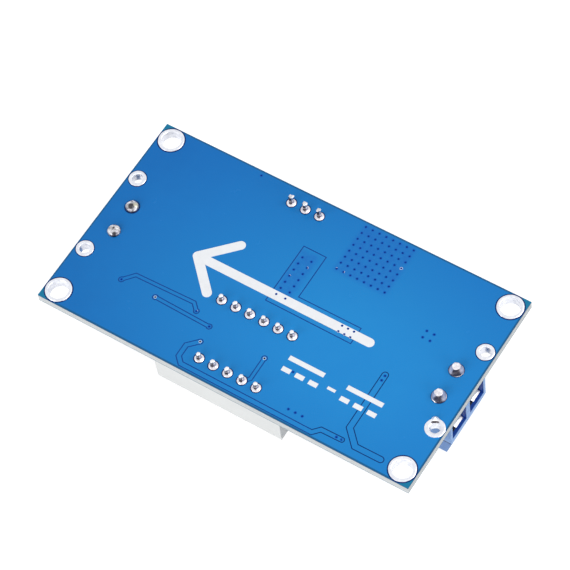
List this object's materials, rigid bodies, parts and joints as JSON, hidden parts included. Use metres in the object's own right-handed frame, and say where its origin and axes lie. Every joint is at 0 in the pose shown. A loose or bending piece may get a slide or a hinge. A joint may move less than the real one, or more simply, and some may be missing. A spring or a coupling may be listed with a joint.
{
  "type": "buck converter module",
  "caption": "Blue circuit board with screw terminals, multi-turn trimmer, voltmeter display and power parts, lying solder side up.",
  "frame": {"origin": "centre of the rectangle of corner holes, on the board's solder face", "axes": "+X along the board towards the input terminal, +Y towards the long edge with the trimmer, +Z out of the solder face, so the components hang below"},
  "size_m": [0.066, 0.036, 0.0147],
  "materials": {
    "solder_mask": "glossy blue solder mask over fibreglass",
    "solder": "bright tin finish",
    "display_plastic": "satin moulded plastic",
    "display_lens": "frosted resin",
    "resin": "cast resin",
    "pin_metal": "tinned wire",
    "trimmer_plastic": "moulded plastic",
    "brass": "turned brass",
    "terminal_plastic": "moulded plastic",
    "plated_steel": "zinc plated",
    "black_plastic": "moulded epoxy",
    "ferrite": "pressed ferrite",
    "copper_wire": "enamelled copper wire",
    "can_metal": "satin aluminium",
    "button_plastic": "moulded plastic",
    "ceramic_dark": "glazed ceramic",
    "ceramic_tan": "sintered ceramic",
    "led_resin": "clear resin"
  },
  "bodies": {
    "module": {"circuit_board": "solder_mask", "corner_rings": "solder", "wire_pads": "solder", "display_solder": "solder", "trimmer_solder": "solder", "input_terminal_solder": "solder", "output_terminal_solder": "solder", "display_housing": "display_plastic", "display_segments": "display_lens", "display_resin": "resin", "display_pins": "pin_metal", "trimmer_housing": "trimmer_plastic", "trimmer_seal": "resin", "trimmer_pins": "pin_metal", "input_terminal_housing": "terminal_plastic", "input_terminal_contacts": "plated_steel", "output_terminal_housing": "terminal_plastic", "output_terminal_contacts": "plated_steel", "regulator_body": "black_plastic", "regulator_tab": "pin_metal", "regulator_leads": "pin_metal", "inductor_base": "black_plastic", "inductor_clips": "pin_metal", "inductor_frame": "ferrite", "inductor_drum": "ferrite", "inductor_winding": "copper_wire", "input_capacitor_base": "black_plastic", "input_capacitor_can": "can_metal", "input_capacitor_leads": "pin_metal", "output_capacitor_base": "black_plastic", "output_capacitor_can": "can_metal", "output_capacitor_leads": "pin_metal", "supply_regulator": "black_plastic", "supply_regulator_leads": "pin_metal", "button_1_base": "button_plastic", "button_1_cover": "plated_steel", "button_2_base": "button_plastic", "button_2_cover": "plated_steel", "button_leads": "pin_metal", "diode_body": "black_plastic", "diode_leads": "pin_metal", "controller_chip": "black_plastic", "controller_leads": "pin_metal", "chip_resistors": "ceramic_dark", "chip_capacitors": "ceramic_tan", "indicator_led": "led_resin", "chip_end_caps": "solder"},
    "input_terminal_leaf_1": {"input_terminal_leaf_1": "plated_steel"},
    "input_terminal_screw_1": {"input_terminal_screw_1": "plated_steel"},
    "input_terminal_leaf_2": {"input_terminal_leaf_2": "plated_steel"},
    "input_terminal_screw_2": {"input_terminal_screw_2": "plated_steel"},
    "output_terminal_leaf_1": {"output_terminal_leaf_1": "plated_steel"},
    "output_terminal_screw_1": {"output_terminal_screw_1": "plated_steel"},
    "output_terminal_leaf_2": {"output_terminal_leaf_2": "plated_steel"},
    "output_terminal_screw_2": {"output_terminal_screw_2": "plated_steel"},
    "trimmer_screw": {"trimmer_screw": "brass"},
    "button_1_plunger": {"button_1_plunger": "button_plastic"},
    "button_2_plunger": {"button_2_plunger": "button_plastic"}
  },
  "joints": [
    {"name": "input_terminal_leaf_1_slide", "type": "slide", "parent": "module", "child": "input_terminal_leaf_1", "axis": [0, 0, 1], "range_m": [0, 0.0018]},
    {"name": "input_terminal_screw_1_turn", "type": "hinge", "parent": "input_terminal_leaf_1", "child": "input_terminal_screw_1", "pos_m": [0.029, 0.00236, -0.008], "axis": [0, 0, 1], "range_deg": [0, 1440]},
    {"name": "input_terminal_leaf_2_slide", "type": "slide", "parent": "module", "child": "input_terminal_leaf_2", "axis": [0, 0, 1], "range_m": [0, 0.0018]},
    {"name": "input_terminal_screw_2_turn", "type": "hinge", "parent": "input_terminal_leaf_2", "child": "input_terminal_screw_2", "pos_m": [0.029, -0.00272, -0.008], "axis": [0, 0, 1], "range_deg": [0, 1440]},
    {"name": "output_terminal_leaf_1_slide", "type": "slide", "parent": "module", "child": "output_terminal_leaf_1", "axis": [0, 0, 1], "range_m": [0, 0.0018]},
    {"name": "output_terminal_screw_1_turn", "type": "hinge", "parent": "output_terminal_leaf_1", "child": "output_terminal_screw_1", "pos_m": [-0.029, -0.00272, -0.008], "axis": [0, 0, 1], "range_deg": [0, 1440]},
    {"name": "output_terminal_leaf_2_slide", "type": "slide", "parent": "module", "child": "output_terminal_leaf_2", "axis": [0, 0, 1], "range_m": [0, 0.0018]},
    {"name": "output_terminal_screw_2_turn", "type": "hinge", "parent": "output_terminal_leaf_2", "child": "output_terminal_screw_2", "pos_m": [-0.029, 0.00236, -0.008], "axis": [0, 0, 1], "range_deg": [0, 1440]},
    {"name": "trimmer_screw_turn", "type": "hinge", "parent": "module", "child": "trimmer_screw", "pos_m": [-0.00235, 0.01461, -0.012], "axis": [0, 0, 1], "continuous": true},
    {"name": "button_1_plunger_press", "type": "slide", "parent": "module", "child": "button_1_plunger", "axis": [0, 0, 1], "range_m": [0, 0.00025], "stiffness_N_per_m": 400, "springref_m": -0.0002},
    {"name": "button_2_plunger_press", "type": "slide", "parent": "module", "child": "button_2_plunger", "axis": [0, 0, 1], "range_m": [0, 0.00025], "stiffness_N_per_m": 400, "springref_m": -0.0002}
  ],
  "couplings": [
    {"joint": "input_terminal_screw_1_turn", "follows": "input_terminal_leaf_1_slide", "rad_per_m": 13963},
    {"joint": "input_terminal_screw_2_turn", "follows": "input_terminal_leaf_2_slide", "rad_per_m": 13963},
    {"joint": "output_terminal_screw_1_turn", "follows": "output_terminal_leaf_1_slide", "rad_per_m": 13963},
    {"joint": "output_terminal_screw_2_turn", "follows": "output_terminal_leaf_2_slide", "rad_per_m": 13963}
  ]
}
